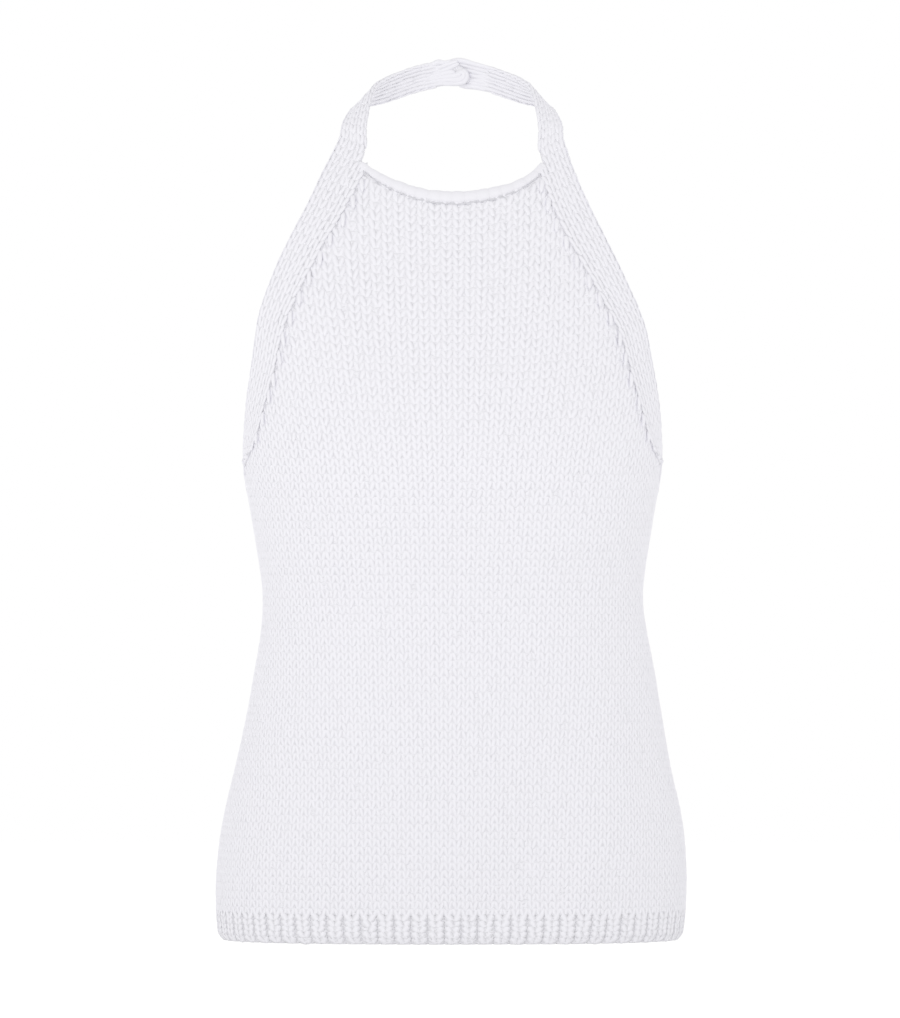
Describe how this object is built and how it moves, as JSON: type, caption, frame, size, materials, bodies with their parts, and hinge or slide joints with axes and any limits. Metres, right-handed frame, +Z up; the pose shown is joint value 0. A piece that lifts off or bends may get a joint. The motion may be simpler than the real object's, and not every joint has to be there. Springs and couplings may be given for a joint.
{
  "type": "halter neck top",
  "caption": "Halter neck top in thick knit, in its hollow worn form: front with edge bands that run on as neck straps, rolled neckline, low back and ribbed hem.",
  "frame": {"origin": "inner side of the neck strap at the nape, where the wearer's neck carries the top", "axes": "+Z up, -Y out of the front, +X to the right of someone who faces the front"},
  "size_m": [0.3485, 0.2568, 0.6534],
  "materials": {
    "stocking_stitch": "matt thick cotton, cool white",
    "hem_rib": "matt thick cotton rib, cool white",
    "strap_knit": "matt thick cotton, cool white",
    "rolled_edge": "matt thick cotton, cool white"
  },
  "bodies": {
    "root": {"front_panel": "stocking_stitch", "back_panel": "stocking_stitch", "hem_rib_front": "hem_rib", "hem_rib_back": "hem_rib", "strap_left": "strap_knit", "strap_right": "strap_knit", "neck_roll": "rolled_edge"}
  },
  "joints": []
}
